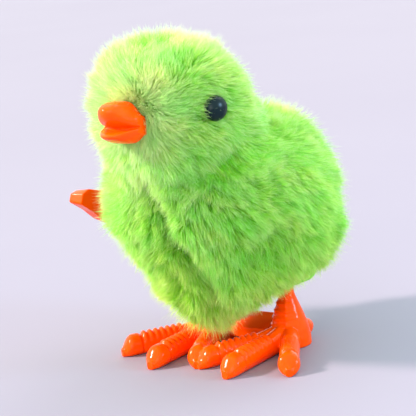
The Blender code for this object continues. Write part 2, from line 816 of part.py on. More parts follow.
def main():
    make_cover()
    make_stuffing()
    make_beak()
    for side in (1, -1):
        make_eye(side)
        make_case_half(side)
    make_ring("key_eyelet", TOY, WINDING, EYELET_X, EYELET_OUTER, EYELET_INNER, BRASS)
    make_base_ring()
    for index, yz in enumerate(SCREW_PLACES, start=1):
        make_case_screw(index, yz)
    make_mainspring()
    make_shaft("spring_post", TOY, SPRING_POST, SPRING_POST_X, SPRING_POST_RADIUS)
    make_foot_spring()
    make_winding()
    make_second()
    make_cam()
    make_feet()


clear_scene()
PARTS = new_collection("wind_up_hopping_chick")
CUTTERS = new_collection("cutters", hidden=True)
TOY = new_axis("toy", BODY_SHIFT[0], BODY_SHIFT[1:])
main()
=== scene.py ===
"""Looks of the wind-up hopping chick: plush pile, glossy orange plastic, bead eyes and clockwork.

Shapes are worked out in millimetres in the toy's own frame: the chick faces -Y, its left is +X and
the feet's axle stands at LEG_AXLE. world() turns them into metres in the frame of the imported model.
"""

import json
import math

import bmesh
import bpy
import numpy as np
from mathutils import Matrix, Vector
from mathutils.kdtree import KDTree

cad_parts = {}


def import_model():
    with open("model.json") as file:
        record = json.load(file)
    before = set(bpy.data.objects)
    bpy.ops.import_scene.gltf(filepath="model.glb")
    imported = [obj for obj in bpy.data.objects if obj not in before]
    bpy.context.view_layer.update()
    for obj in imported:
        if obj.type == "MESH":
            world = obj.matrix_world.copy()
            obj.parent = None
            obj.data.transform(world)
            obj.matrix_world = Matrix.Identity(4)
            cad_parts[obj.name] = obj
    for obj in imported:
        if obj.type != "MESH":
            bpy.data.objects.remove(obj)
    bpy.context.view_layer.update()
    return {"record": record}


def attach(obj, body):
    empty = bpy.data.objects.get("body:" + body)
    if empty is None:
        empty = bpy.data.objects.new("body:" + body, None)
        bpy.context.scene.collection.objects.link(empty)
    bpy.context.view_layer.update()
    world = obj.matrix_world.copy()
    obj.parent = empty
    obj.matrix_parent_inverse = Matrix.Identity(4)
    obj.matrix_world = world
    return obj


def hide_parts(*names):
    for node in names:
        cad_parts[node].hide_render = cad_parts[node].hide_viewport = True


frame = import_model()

MM = 0.001
RANDOM = np.random.default_rng(7)

# The toy's own frame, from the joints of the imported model
JOINTS = {joint["name"]: joint for joint in frame["record"]["behaviour"]["joints"]}
LEG_AXLE = np.array((0.0, 1.0, 15.8))
TOY_SHIFT = np.array(JOINTS["feet_kick"]["pos_m"]) / MM - LEG_AXLE
WINDING = np.array(JOINTS["key_turn"]["pos_m"]) / MM - TOY_SHIFT

# Rounded masses of the plush, as in the CAD cover: centre and radii
MASSES = (
    ((0, -17.0, 50.6), (15.4, 14.6, 13.4)),
    ((0, -11.5, 43.0), (15.4, 14.5, 11.0)),
    ((0, -1.0, 28.5), (22.0, 21.5, 17.5)),
    ((0, 8.5, 32.3), (17.0, 13.5, 13.0)),
    ((0, -14.5, 29.5), (18.5, 13.0, 14.0)),
    ((0, -7.0, 20.5), (15.0, 13.5, 14.0)),
    ((0, 6.0, 23.5), (17.0, 15.0, 11.5)),
)
BLEND_SHARPNESS = 0.55
PLUSH_MIDDLE = np.array((0, -7.0, 35.0))
HEAD_MIDDLE = np.array((0, -17.0, 50.6))
BEAK = np.array((0, -30.6, 50.2))
EYE_MIDDLE = np.array((0, -17.0, 51.0))
EYE_AZIMUTH = math.radians(72.5)
EYE_REACH = 14.1
EYE_RADII = (2.3, 2.3, 1.7)
OPENING_MIDDLE = np.array((0, 2.0))
OPENING_RADII = np.array((13.1, 11.2))
OPENING_TOP = 17.0
FOOT_X = 8.9

# Front toes and rear toe: azimuth in degrees from straight ahead, positive inwards, reach and radius
FOOT_TOES = ((24.5, 21.0, 2.1), (0, 22.4, 2.2), (-32.5, 20.6, 2.15))
HEEL = (180, 7.2, 1.9)

# The web between the heels: front, back, bottom, and the heights of its top in front and behind
BRIDGE = (-1.2, 5.6, 1.0, 3.3, 4.7)

# Search for the plush surface outwards from PLUSH_MIDDLE, and the step that gives its slope
FARTHEST = 60.0
HALVINGS = 36
SLOPE_STEP = 0.05

# Cloth and pile
SKIN_DETAIL = 6
SKIN_DEPTH = 3.2
CLOTH_THICKNESS = 0.6
STRANDS = 235000
CLUMPS = 13000
STRAND_RADIUS = 0.052
SWIRLS = 14

# Where a strand's bend lies on the colour ramps, which run from the root at 0 to the tip at 1
BEND_LEVEL = 0.42

# A strand's faces: points 0 to 2 are round its root, 3 to 5 round its bend, and 6 is its tip
STRAND_FACES = (
    (0, 2, 1), (0, 1, 4), (0, 4, 3), (1, 2, 5), (1, 5, 4),
    (2, 0, 3), (2, 3, 5), (3, 4, 6), (4, 5, 6), (5, 3, 6),
)

# Camera
VIEW_AZIMUTH = math.radians(37.8)
VIEW_ELEVATION = math.radians(12.0)
VIEW_ROLL = math.radians(-6.4)
VIEW_DISTANCE = 300.0
VIEW_TARGET = np.array((0.33, -9.7, 29.6))
LENS = 136.6


def world(points):
    return (np.asarray(points, float) + TOY_SHIFT) * MM


def smooth_step(value, low, high):
    t = np.clip((value - low) / (high - low), 0, 1)
    return t * t * (3 - 2 * t)


def unit(vectors):
    return vectors / np.maximum(np.linalg.norm(vectors, axis=-1, keepdims=True), 1e-9)


# Pieces and meshes


def add_piece(name, mesh, body, material):
    piece = bpy.data.objects.new(name, mesh)
    bpy.context.scene.collection.objects.link(piece)
    mesh.materials.clear()
    mesh.materials.append(material)
    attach(piece, body)
    return piece


def mesh_of(name, points, faces):
    mesh = bpy.data.meshes.new(name)
    mesh.from_pydata([tuple(p) for p in world(points)], [], faces)
    mesh.update()
    mesh.shade_smooth()
    return mesh


def lofted(name, rings):
    """A closed surface through rings of equal length, with a flat cap at either end."""
    count = len(rings[0])
    points = [p for ring in rings for p in ring]
    faces = []
    for i in range(len(rings) - 1):
        for j in range(count):
            k = (j + 1) % count
            faces.append((i * count + j, i * count + k, (i + 1) * count + k, (i + 1) * count + j))
    faces.append(tuple(range(count))[::-1])
    faces.append(tuple((len(rings) - 1) * count + j for j in range(count)))
    mesh = mesh_of(name, points, faces)
    face_out(mesh)
    return mesh


def face_out(mesh):
    grid = bmesh.new()
    grid.from_mesh(mesh)
    bmesh.ops.recalc_face_normals(grid, faces=grid.faces)
    grid.to_mesh(mesh)
    grid.free()


def fused(name, meshes, voxel, rounds):
    """One smooth closed mesh from closed meshes that overlap."""
    joined = bmesh.new()
    for mesh in meshes:
        joined.from_mesh(mesh)
        bpy.data.meshes.remove(mesh)
    mesh = bpy.data.meshes.new(name)
    joined.to_mesh(mesh)
    joined.free()
    helper = bpy.data.objects.new(name, mesh)
    bpy.context.scene.collection.objects.link(helper)
    remesh = helper.modifiers.new("fuse", "REMESH")
    remesh.mode = "VOXEL"
    remesh.voxel_size = voxel * MM
    soften = helper.modifiers.new("soften", "SMOOTH")
    soften.iterations = rounds
    soften.factor = 0.5
    graph = bpy.context.evaluated_depsgraph_get()
    result = bpy.data.meshes.new_from_object(helper.evaluated_get(graph))
    bpy.data.objects.remove(helper, do_unlink=True)
    result.shade_smooth()
    return result


def subdivided(piece, levels):
    modifier = piece.modifiers.new("smooth", "SUBSURF")
    modifier.levels = levels
    modifier.render_levels = levels


# Materials


class Look:
    """A Principled material with procedural variation of its colour, roughness and surface."""

    def __init__(self, name):
        self.material = bpy.data.materials.new(name)
        self.material.use_nodes = True
        self.nodes = self.material.node_tree.nodes
        self.links = self.material.node_tree.links
        self.shader = self.nodes["Principled BSDF"]
        self.coordinates = self.nodes.new("ShaderNodeTexCoord").outputs["Object"]

    def noise(self, scale, detail, roughness=0.55, distortion=0.0):
        node = self.nodes.new("ShaderNodeTexNoise")
        node.inputs["Scale"].default_value = scale
        node.inputs["Detail"].default_value = detail
        node.inputs["Roughness"].default_value = roughness
        node.inputs["Distortion"].default_value = distortion
        self.links.new(self.coordinates, node.inputs["Vector"])
        return node.outputs["Fac"]

    def ramp(self, value, *stops):
        node = self.nodes.new("ShaderNodeValToRGB")
        band = node.color_ramp
        while len(band.elements) < len(stops):
            band.elements.new(0.5)
        for element, (position, color) in zip(band.elements, stops):
            element.position = position
            element.color = (*color, 1)
        self.links.new(value, node.inputs["Fac"])
        return node.outputs["Color"]

    def mix(self, factor, first, second):
        """Mixes two colours; the node's colour sockets are its inputs 6 and 7 and its output 2."""
        node = self.nodes.new("ShaderNodeMix")
        node.data_type = "RGBA"
        self.links.new(factor, node.inputs[0])
        self.links.new(first, node.inputs[6])
        self.links.new(second, node.inputs[7])
        return node.outputs[2]

    def spread(self, value, low, high):
        node = self.nodes.new("ShaderNodeMapRange")
        node.inputs["To Min"].default_value = low
        node.inputs["To Max"].default_value = high
        self.links.new(value, node.inputs["Value"])
        return node.outputs["Result"]

    def attribute(self, name):
        node = self.nodes.new("ShaderNodeAttribute")
        node.attribute_name = name
        return node.outputs["Fac"]

    def bump(self, height, depth_mm, strength):
        node = self.nodes.new("ShaderNodeBump")
        node.inputs["Strength"].default_value = strength
        node.inputs["Distance"].default_value = depth_mm * MM
        self.links.new(height, node.inputs["Height"])
        self.links.new(node.outputs["Normal"], self.shader.inputs["Normal"])

    def link(self, value, socket):
        self.links.new(value, self.shader.inputs[socket])

    def let_through(self, colour, share):
        """Lets a share of the light through thin strands, in their own colour."""
        glow = self.nodes.new("ShaderNodeBsdfTranslucent")
        self.links.new(colour, glow.inputs["Color"])
        both = self.nodes.new("ShaderNodeMixShader")
        both.inputs["Fac"].default_value = share
        self.links.new(self.shader.outputs["BSDF"], both.inputs[1])
        self.links.new(glow.outputs["BSDF"], both.inputs[2])
        self.links.new(both.outputs["Shader"], self.nodes["Material Output"].inputs["Surface"])


def glossy_orange(name, green, gloss):
    """Glossy orange plastic; more green makes it lighter."""
    look = Look(name)
    shade = look.noise(180, 3.0)
    colour = look.ramp(shade, (0.25, (0.95, green * 0.85, 0.0004)), (0.75, (1.0, green * 1.15, 0.0006)))
    look.link(colour, "Base Color")
    look.link(look.spread(look.noise(420, 2.0), 0.09, 0.15), "Roughness")
    look.bump(look.noise(900, 2.0), 0.012, 0.35)
    look.shader.inputs["Subsurface Weight"].default_value = 0.10
    look.shader.inputs["Subsurface Radius"].default_value = (1.0, 0.2, 0.03)
    look.shader.inputs["Subsurface Scale"].default_value = 1.2 * MM
    look.shader.inputs["Specular IOR Level"].default_value = gloss
    return look.material


def pile_material():
    """Plush pile in its own lime green, with painted light along each strand: lighter tips as a painted
    highlight and a deeper green at the root as painted shade. Greener or yellower by clump, with painted
    warm bounce light low down and painted shade in the neck crease.
    """
    look = Look("lime_pile")
    along = look.attribute("along")
    tint_and_painted_light = look.attribute("tint_and_painted_light")
    # Painted light on both ramps: each runs from painted shade at the root to a painted highlight at the
    # tip; warm is yellower and lighter than cool.
    cool = look.ramp(
        along,
        (0.0, (0.12, 0.68, 0.002)),
        (BEND_LEVEL, (0.25, 0.80, 0.03)),
        (0.75, (0.50, 0.90, 0.19)),
        (1.0, (0.84, 0.97, 0.66)),
    )
    warm = look.ramp(
        along,
        (0.0, (0.24, 0.72, 0.002)),
        (BEND_LEVEL, (0.50, 0.82, 0.05)),
        (0.75, (0.82, 0.92, 0.29)),
        (1.0, (0.99, 0.98, 0.78)),
    )
    colour = look.mix(tint_and_painted_light, cool, warm)
    look.let_through(colour, 0.55)
    look.link(colour, "Base Color")
    look.shader.inputs["Roughness"].default_value = 0.35
    look.shader.inputs["Specular IOR Level"].default_value = 0.5
    look.shader.inputs["Sheen Weight"].default_value = 0.25
    look.shader.inputs["Sheen Roughness"].default_value = 0.4
    look.shader.inputs["Sheen Tint"].default_value = (0.85, 1.0, 0.6, 1)
    return look.material


def backing_material():
    look = Look("lime_backing")
    weave = look.noise(900, 3.0)
    look.link(look.ramp(weave, (0.3, (0.08, 0.52, 0.003)), (0.7, (0.13, 0.66, 0.010))), "Base Color")
    look.shader.inputs["Roughness"].default_value = 0.95
    look.bump(look.noise(1500, 2.0), 0.08, 0.6)
    return look.material


def bead_material():
    look = Look("black_bead")
    shade = look.noise(150, 3.0)
    look.link(look.ramp(shade, (0.3, (0.0005, 0.008, 0.010)), (0.7, (0.001, 0.012, 0.015))), "Base Color")
    look.link(look.spread(look.noise(500, 2.0), 0.24, 0.32), "Roughness")
    look.shader.inputs["Specular IOR Level"].default_value = 0.2
    return look.material


def moulded_plastic(name, dark, light, roughness):
    look = Look(name)
    look.link(look.ramp(look.noise(260, 4.0), (0.3, dark), (0.7, light)), "Base Color")
    look.link(look.spread(look.noise(700, 3.0), roughness - 0.06, roughness + 0.08), "Roughness")
    look.bump(look.noise(1400, 3.0), 0.02, 0.5)
    return look.material


def metal(name, dark, light, roughness):
    look = Look(name)
    look.shader.inputs["Metallic"].default_value = 1.0
    look.link(look.ramp(look.noise(500, 5.0, 0.6, 0.6), (0.3, dark), (0.7, light)), "Base Color")
    look.link(look.spread(look.noise(900, 3.0), roughness - 0.08, roughness + 0.12), "Roughness")
    look.bump(look.noise(2200, 2.0), 0.01, 0.4)
    return look.material


def wadding():
    look = Look("wadding")
    shade = look.noise(400, 6.0)
    look.link(look.ramp(shade, (0.3, (0.62, 0.62, 0.58)), (0.7, (0.85, 0.85, 0.82))), "Base Color")
    look.shader.inputs["Roughness"].default_value = 0.95
    look.bump(look.noise(700, 5.0), 0.4, 0.8)
    return look.material


# Plush form


def field(points):
    """Below zero inside the plush."""
    distances = []
    for middle, radii in MASSES:
        scaled = (points - np.array(middle)) / np.array(radii)
        distances.append((np.linalg.norm(scaled, axis=1) - 1) * min(radii))
    distances = np.array(distances)
    nearest = distances.min(axis=0)
    shares = np.exp(-BLEND_SHARPNESS * (distances - nearest))
    return nearest - np.log(shares.sum(axis=0)) / BLEND_SHARPNESS


def out_from(points):
    """The way out of the plush at each point."""
    slopes = []
    for axis in np.eye(3):
        slopes.append(field(points + SLOPE_STEP * axis) - field(points - SLOPE_STEP * axis))
    return unit(np.stack(slopes, axis=1))


def on_level(directions, depth):
    """The points in these directions that lie this deep in the plush, found by halving."""
    near = np.zeros(len(directions))
    far = np.full(len(directions), FARTHEST)
    for _ in range(HALVINGS):
        reach = (near + far) / 2
        inside = field(PLUSH_MIDDLE + directions * reach[:, None]) < -depth
        near = np.where(inside, reach, near)
        far = np.where(inside, far, reach)
    return PLUSH_MIDDLE + directions * near[:, None]


def seam_gap(points):
    """Distance in millimetres from the seam between breast and side panels, positive outside it."""
    seam_x = 1.2 + 4.4 * smooth_step(points[:, 2], 43.0, 22.0)
    return np.abs(points[:, 0]) - seam_x


def seam_reach(points):
    """Where the seam shows: down the front, and deeper on the chick's left."""
    side = 0.15 + 0.85 * smooth_step(points[:, 0], -1.0, 1.0)
    return side * smooth_step(-points[:, 1], 12.0, 18.0) * smooth_step(points[:, 2], 43.0, 38.0)


def seam_depth(points):
    return seam_reach(points) * np.exp(-(((seam_gap(points) + 0.9) / 1.3) ** 2))


def neck_depth(points):
    """The crease under the cheeks, where the head meets the shoulders."""
    crease = 38.5 + 0.28 * np.abs(points[:, 0]) + 0.12 * (points[:, 1] + 25.0)
    side = smooth_step(np.abs(points[:, 0]), 4.0, 10.0) * smooth_step(-points[:, 1], 4.0, 14.0)
    hollow = np.exp(-(((points[:, 0] - 11.5) / 2.6) ** 2)) * smooth_step(-points[:, 1], 14.0, 20.0)
    return (side + 0.7 * hollow) * np.exp(-(((points[:, 2] - crease) / 2.6) ** 2))


def puff(points):
    """How much fuller than the rounded masses the plush is: a full chest and a tucked-in belly."""
    height = points[:, 2]
    front = smooth_step(-points[:, 1], 4.0, 16.0)
    rear = smooth_step(points[:, 1], -4.0, 8.0)
    brow = smooth_step(height, 50.0, 58.0) * smooth_step(-points[:, 1], 12.0, 22.0)
    crown = smooth_step(height, 58.0, 62.0)
    chest = front * smooth_step(height, 31.0, 39.0) * smooth_step(height, 46.0, 41.0)
    belly = front * smooth_step(height, 31.0, 26.0) * smooth_step(height, 15.0, 22.0)
    rump = rear * smooth_step(height, 22.0, 27.0) * smooth_step(height, 43.0, 36.0)
    tail = rear * smooth_step(height, 22.0, 14.0)
    return 1.2 * brow - 0.9 * crown + 1.3 * chest - 1.7 * belly - 1.3 * rump + 1.5 * tail


def skin_depth(points):
    """How far the cloth lies under the mean surface of the pile."""
    return SKIN_DEPTH - puff(points)


def skin_grid():
    """The cloth under the pile, sunk along the seams and the neck: its points, normals and faces."""
    grid = bmesh.new()
    bmesh.ops.create_icosphere(grid, subdivisions=SKIN_DETAIL, radius=1)
    directions = np.array([v.co for v in grid.verts], float)
    faces = np.array([[v.index for v in f.verts] for f in grid.faces])
    grid.free()
    directions = unit(directions)
    points = on_level(directions, skin_depth(on_level(directions, SKIN_DEPTH)))
    normals = out_from(points)
    lip = np.exp(-((seam_gap(points) - 2.2) / 1.5) ** 2) * seam_reach(points)
    sunk = 2.6 * seam_depth(points) + 1.8 * neck_depth(points) - 1.0 * lip
    return points - normals * sunk[:, None], normals, faces


def in_opening(points, margin):
    flat = (points[:, :2] - OPENING_MIDDLE) / (OPENING_RADII + margin)
    return (np.linalg.norm(flat, axis=1) < 1) & (points[:, 2] < OPENING_TOP)


def eye_place(side):
    out = np.array((side * math.sin(EYE_AZIMUTH), -math.cos(EYE_AZIMUTH), 0.0))
    return EYE_MIDDLE + EYE_REACH * out, out


def bare(points):
    """Where no pile grows: the opening below, under the beak and the eyes, and round the key's shaft."""
    gone = in_opening(points, 0.2)
    beside_beak = (points - BEAK) / np.array((2.5, 9.0, 2.1))
    gone |= np.linalg.norm(beside_beak, axis=1) < 1
    for side in (1, -1):
        spot, _ = eye_place(side)
        gone |= np.linalg.norm(points - spot, axis=1) < 2.0
    ring = np.linalg.norm(points[:, 1:] - WINDING[1:], axis=1)
    return gone | ((points[:, 0] < -12) & (ring < 3.6))


def comb(points, normals):
    """The way the pile lies: out from the beak, down the breast, and down and back along the sides."""
    from_beak = unit(points - (BEAK + np.array((0, 3.0, 0.5))))
    crown = smooth_step(points[:, 2], 52.0, 62.0)[:, None]
    from_beak = unit(from_beak + crown * np.array((0, 0.6, 0)))
    high = smooth_step(points[:, 2], 13.0, 20.0)[:, None]
    side = smooth_step(np.abs(points[:, 0]), 4.0, 15.0)[:, None] * high
    back = smooth_step(points[:, 1], -14.0, 12.0)[:, None] * high
    inward = 0.55 * (seam_reach(points) * np.exp(-((seam_gap(points) - 1.5) / 2.0) ** 2))[:, None]
    outward = np.sign(points[:, :1]) * (np.array((0.30, 0, 0)) - inward * np.array((1.0, 0, 0)))
    backward = side * np.array((0, 0.3, 0))
    down = np.array((0, 0, -1.0)) + backward + back * np.array((0, 0.6, 0.2)) + outward
    under = smooth_step(points[:, 2], 20.0, 12.0)[:, None]
    under = under * smooth_step(points[:, 1], -8.0, 0.0)[:, None]
    down = down * (1 - 0.15 * under) - 0.15 * under * unit(points * np.array((1.0, 1.0, 0)))
    head = smooth_step(points[:, 2] - 0.15 * points[:, 1], 43.0, 49.0)[:, None]
    lie = head * from_beak + (1 - head) * down
    lie -= normals * (lie * normals).sum(axis=1, keepdims=True)
    return unit(lie)


def swirl(points, wave_mm, seed):
    """A smooth random vector field: a sum of plane waves a few millimetres long."""
    draw = np.random.default_rng(seed)
    turns = 2 * math.pi / wave_mm
    heading = unit(draw.normal(size=(SWIRLS, 3))) * turns * draw.uniform(0.6, 1.6, (SWIRLS, 1))
    start = draw.uniform(0, 2 * math.pi, SWIRLS)
    push = draw.normal(size=(SWIRLS, 3)) / math.sqrt(SWIRLS / 2)
    return np.sin(points @ heading.T + start) @ push


def wander(points):
    """How the pile strays from the comb, in long and short waves."""
    return 0.36 * swirl(points, 9.0, seed=21) + 0.26 * swirl(points, 3.2, seed=22)


def pile_length(points):
    """Length of the strands: short round beak and eyes, in the seams, and low down but for the front."""
    near_beak = np.linalg.norm(points - BEAK, axis=1)
    head = smooth_step(points[:, 2], 40.0, 48.0)
    length = 4.9 - 0.5 * head
    length -= 0.9 * (1 - smooth_step(near_beak, 4.0, 8.5))
    for side in (1, -1):
        spot, _ = eye_place(side)
        length -= 1.1 * (1 - smooth_step(np.linalg.norm(points - spot, axis=1), 2.6, 6.0))
    length -= 1.8 * seam_depth(points) + 0.9 * neck_depth(points)
    low = smooth_step(points[:, 2], 20.0, 13.0)
    middle = 1 - smooth_step(np.abs(points[:, 0] + 0.5), 0.5, 4.5)
    middle *= smooth_step(-points[:, 1], 4.0, 10.0)
    behind = smooth_step(points[:, 1], -18.0, -8.0) - 2.0 * smooth_step(points[:, 1], 1.0, 8.0)
    return length + low * (1.3 * middle - (1.1 + 0.35 * behind) * (1 - middle))


def upright(points):
    """How far the pile stands up: most round the beak, then on the rest of the head and the breast."""
    head = smooth_step(points[:, 2], 40.0, 50.0)
    front = smooth_step(-points[:, 1], 6.0, 20.0)
    face = 1 - smooth_step(np.linalg.norm(points - BEAK, axis=1), 5.0, 13.0)
    return 0.95 + 0.35 * np.maximum(head, 0.7 * front) + 0.2 * face


def sample_roots(points, normals, faces, count):
    """Random roots on the cloth and the way out at each, denser round the beak."""
    corners = points[faces]
    sides = corners[:, 1:] - corners[:, :1]
    areas = np.linalg.norm(np.cross(sides[:, 0], sides[:, 1]), axis=1)
    near_beak = np.linalg.norm(corners.mean(axis=1) - BEAK, axis=1)
    areas *= 1.7 - 0.7 * smooth_step(near_beak, 8.0, 14.0)
    chosen = RANDOM.choice(len(faces), size=count, p=areas / areas.sum())
    a, b = np.sort(RANDOM.random((2, count)), axis=0)
    weights = np.stack((a, b - a, 1 - b), axis=1)[:, :, None]
    roots = (corners[chosen] * weights).sum(axis=1)
    outward = unit((normals[faces][chosen] * weights).sum(axis=1))
    kept = ~bare(roots)
    return roots[kept], outward[kept]


def grow(roots, outward, jitter, lift, stretch):
    """Middle and tip of each strand: it rises from the skin, then lies over along the comb."""
    lie = comb(roots, outward)
    stand = (upright(roots) + lift)[:, None]
    length = (pile_length(roots) * stretch)[:, None]
    rise = unit(outward * (stand + 0.25) + 0.45 * lie + 0.5 * jitter)
    over = unit(outward * (stand - 0.05) + 1.0 * lie + jitter + np.array((0, 0, -0.10)))
    middle = roots + rise * length * 0.45
    return middle, middle + over * length * 0.58


def grow_pile():
    """Each strand's root, middle, tip, its tone mixed with painted light, and its painted light shift
    along the colour ramps; most lean towards their clump's leader.
    """
    points, normals, faces = skin_grid()
    roots, outward = sample_roots(points, normals, faces, STRANDS)
    count = len(roots)
    leaders = RANDOM.choice(count, size=CLUMPS, replace=False)
    tree = KDTree(CLUMPS)
    for i, root in enumerate(roots[leaders]):
        tree.insert(root, i)
    tree.balance()
    clump = np.array([tree.find(root)[1] for root in roots])
    lead_roots, lead_outward = roots[leaders], outward[leaders]
    clump_jitter = wander(lead_roots) + RANDOM.normal(0, 0.34, (CLUMPS, 3))
    clump_lift = RANDOM.normal(0, 0.12, CLUMPS)
    clump_stretch = np.full(CLUMPS, 1.02)
    lead_middle, lead_tip = grow(lead_roots, lead_outward, clump_jitter, clump_lift, clump_stretch)
    stray = RANDOM.random(count) < 0.14
    jitter = wander(roots) + RANDOM.normal(0, 0.34, (count, 3))
    jitter[stray] += RANDOM.normal(0, 0.30, (stray.sum(), 3))
    lift = clump_lift[clump] + RANDOM.normal(0, 0.14, count) + 0.25 * stray
    stretch = RANDOM.uniform(0.74, 1.14, count) + 0.18 * stray
    middle, tip = grow(roots, outward, jitter, lift, stretch)
    near_beak = smooth_step(np.linalg.norm(roots - BEAK, axis=1), 6.0, 13.0)
    pull = (RANDOM.uniform(0.2, 0.75, count) * (0.2 + 0.8 * near_beak) * ~stray)[:, None]
    aside = roots - lead_roots[clump]
    tip += pull * (lead_tip[clump] + aside * 0.35 - tip)
    middle += 0.4 * pull * (lead_middle[clump] + aside * 0.8 - middle)
    tint_and_painted_light = 0.5 + 0.13 * swirl(roots, 7.0, seed=31)[:, 0] + RANDOM.normal(0, 0.18, CLUMPS)[clump]
    # Painted light in the mix: yellower low down is painted warm bounce light from below, and greener in
    # the neck crease is painted shade; it is also greener round the beak. The spread by swirl, clump and
    # strand is the pile's own tone.
    low = smooth_step(roots[:, 2], 28.0, 14.0)
    tint_and_painted_light += 0.48 * low - 0.12 * neck_depth(roots) - 0.08 * (1 - near_beak)
    tint_and_painted_light = np.clip(tint_and_painted_light + RANDOM.normal(0, 0.16, count), 0, 1)
    return roots, middle, tip, tint_and_painted_light, painted_light_shift(roots, near_beak)


def painted_light_shift(roots, near_beak):
    """Painted light: how far a strand's colours move towards the tip's. Lighter round the beak as painted
    light in the shaded gaps there, lighter on the crown as painted light from above, and deeper low down
    as painted shade.
    """
    crown = smooth_step(roots[:, 2], 44.0, 58.0)
    low = smooth_step(roots[:, 2], 36.0, 22.0)
    return 0.34 * (1 - near_beak) + 0.14 * crown - 0.13 * low


def strand_frames(roots, tip):
    """Two directions across each strand."""
    along = unit(tip - roots)
    guide = np.where(np.abs(along[:, 2:3]) < 0.9, np.array((0, 0, 1.0)), np.array((1.0, 0, 0)))
    across = unit(np.cross(along, guide))
    return across, np.cross(along, across)


def strand_mesh(name, roots, middle, tip, tint_and_painted_light, painted_shift):
    """Every strand is a closed three-sided spike with a bend: ten triangles."""
    count = len(roots)
    across, up = strand_frames(roots, tip)
    turn = RANDOM.uniform(0, 2 * math.pi, count)
    width = STRAND_RADIUS * RANDOM.uniform(0.75, 1.2, count)
    points = np.empty((count, 7, 3))
    for corner in range(3):
        angle = turn + corner * 2 * math.pi / 3
        side = across * np.cos(angle)[:, None] + up * np.sin(angle)[:, None]
        points[:, corner] = roots + side * width[:, None]
        points[:, 3 + corner] = middle + side * width[:, None] * 0.85
    points[:, 6] = tip
    pattern = np.array(STRAND_FACES)
    faces = (pattern[None] + 7 * np.arange(count)[:, None, None]).reshape(-1, 3)
    mesh = triangle_mesh(name, world(points.reshape(-1, 3)), faces)
    level = np.tile((0.0, 0.0, 0.0, BEND_LEVEL, BEND_LEVEL, BEND_LEVEL, 1.0), count)
    # The painted light shift moves each strand's colours along the ramps, towards the tip's painted
    # highlight or the root's painted shade.
    add_attribute(mesh, "along", np.clip(level + np.repeat(painted_shift, 7), 0, 1))
    add_attribute(mesh, "tint_and_painted_light", np.repeat(tint_and_painted_light, 7))
    add_cells(mesh, faces, count)
    return mesh


def triangle_mesh(name, points, faces):
    mesh = bpy.data.meshes.new(name)
    mesh.vertices.add(len(points))
    mesh.vertices.foreach_set("co", points.astype(np.float32).ravel())
    mesh.loops.add(faces.size)
    mesh.loops.foreach_set("vertex_index", faces.astype(np.int32).ravel())
    mesh.polygons.add(len(faces))
    mesh.polygons.foreach_set("loop_start", np.arange(0, faces.size, 3, dtype=np.int32))
    mesh.update(calc_edges=True)
    mesh.shade_flat()
    return mesh


def add_attribute(mesh, name, values):
    layer = mesh.attributes.new(name, "FLOAT", "POINT")
    layer.data.foreach_set("value", np.asarray(values, np.float32))


def add_cells(mesh, faces, count):
    """A small texture cell for each strand, its root at the cell's foot and its tip at the top."""
    rows = math.ceil(math.sqrt(count))
    cell = np.arange(count)
    low = np.stack((cell % rows, cell // rows), axis=1) / rows
    corner_u = np.array((0.15, 0.5, 0.85, 0.15, 0.5, 0.85, 0.5))
    corner_v = np.array((0.1, 0.1, 0.1, 0.5, 0.5, 0.5, 0.9))
    spots = low[:, None, :] + np.stack((corner_u, corner_v), axis=1)[None] / rows
    layer = mesh.uv_layers.new(name="OFBake")
    layer.data.foreach_set("uv", spots.reshape(-1, 2)[faces.ravel()].astype(np.float32).ravel())


def make_pile():
    """The pile in fourteen pieces: seven bands from the face to the rump, each left and right."""
    roots, middle, tip, tint_and_painted_light, painted_shift = grow_pile()
    material = pile_material()
    head = roots[:, 2] - 0.15 * roots[:, 1] > 46.0
    left = roots[:, 0] > 0
    bands = {
        "pile_face": head & (roots[:, 1] < -22.0),
        "pile_crown": head & (roots[:, 1] >= -22.0),
        "pile_breast": ~head & (roots[:, 1] < -17.0),
        "pile_shoulder": ~head & (roots[:, 1] >= -17.0) & (roots[:, 1] < -8.0),
        "pile_flank": ~head & (roots[:, 1] >= -8.0) & (roots[:, 1] < 2.0),
        "pile_hip": ~head & (roots[:, 1] >= 2.0) & (roots[:, 1] < 12.0),
        "pile_rump": ~head & (roots[:, 1] >= 12.0),
    }
    for band, inside in bands.items():
        for name, chosen in ((band + "_left", inside & left), (band + "_right", inside & ~left)):
            strands = [values[chosen] for values in (roots, middle, tip, tint_and_painted_light, painted_shift)]
            mesh = strand_mesh(name, *strands)
            piece = add_piece(name, mesh, "chick_body", material)


# The cover's cloth and its holes


def make_backing():
    """The cloth that the pile grows on, with holes for the legs, the key, the beak and the eyes."""
    points, _, faces = skin_grid()
    outer = mesh_of("plush_backing", points, faces.tolist())
    face_out(outer)
    piece = add_piece("plush_backing", outer, "chick_body", backing_material())
    shell = piece.modifiers.new("cloth", "SOLIDIFY")
    shell.thickness = CLOTH_THICKNESS * MM
    shell.offset = -1
    cut_hole(piece, "opening", (*OPENING_MIDDLE, 3.0), radii=OPENING_RADII, length=26.0, axis=(0, 0, 1))
    cut_hole(piece, "key", (-20.0, *WINDING[1:]), radii=(3.2, 3.2), length=14.0, axis=(1, 0, 0))
    beak_post = (BEAK[0], -27.0, BEAK[2])
    cut_hole(piece, "beak_post", beak_post, radii=(1.7, 1.7), length=12.0, axis=(0, 1, 0))
    for side in (1, -1):
        spot, out = eye_place(side)
        cut_hole(piece, f"eye_{side}", spot - out * 3.0, radii=(1.2, 1.2), length=8.0, axis=out)
    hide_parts("plush_cover")


